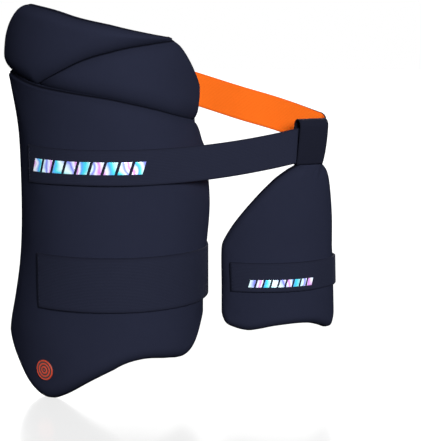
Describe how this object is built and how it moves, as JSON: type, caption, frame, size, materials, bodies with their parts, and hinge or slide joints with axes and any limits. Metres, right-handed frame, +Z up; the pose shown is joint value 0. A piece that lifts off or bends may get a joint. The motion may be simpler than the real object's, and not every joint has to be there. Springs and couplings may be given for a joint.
{
  "type": "cricket thigh guard",
  "caption": "Padded cricket guard for both thighs: a long curved outer pad with hip panels and a short inner pad, joined by an elastic waist belt and thigh straps.",
  "frame": {"origin": "inner face of the thigh pad on its front line, where it seats on the front of the thigh, a little above the middle of the pad", "axes": "+Z up the thigh, +Y back into the thigh, +X towards the inner pad"},
  "size_m": [0.3462, 0.1955, 0.4003],
  "materials": {
    "navy_knit": "matt smooth knit over foam",
    "navy_elastic": "matt ribbed elastic webbing",
    "orange_elastic": "matt elastic webbing",
    "orange_rubber": "satin moulded"
  },
  "bodies": {
    "root": {"thigh_pad": "navy_knit", "hip_panel_middle": "navy_knit", "hip_panel_upper": "navy_knit", "roundel": "orange_rubber", "thigh_strap": "navy_elastic", "waist_belt": "navy_elastic", "waist_belt_lining": "orange_elastic", "hanger_loop": "navy_elastic", "inner_pad": "navy_knit", "inner_strap": "navy_elastic"}
  },
  "joints": []
}
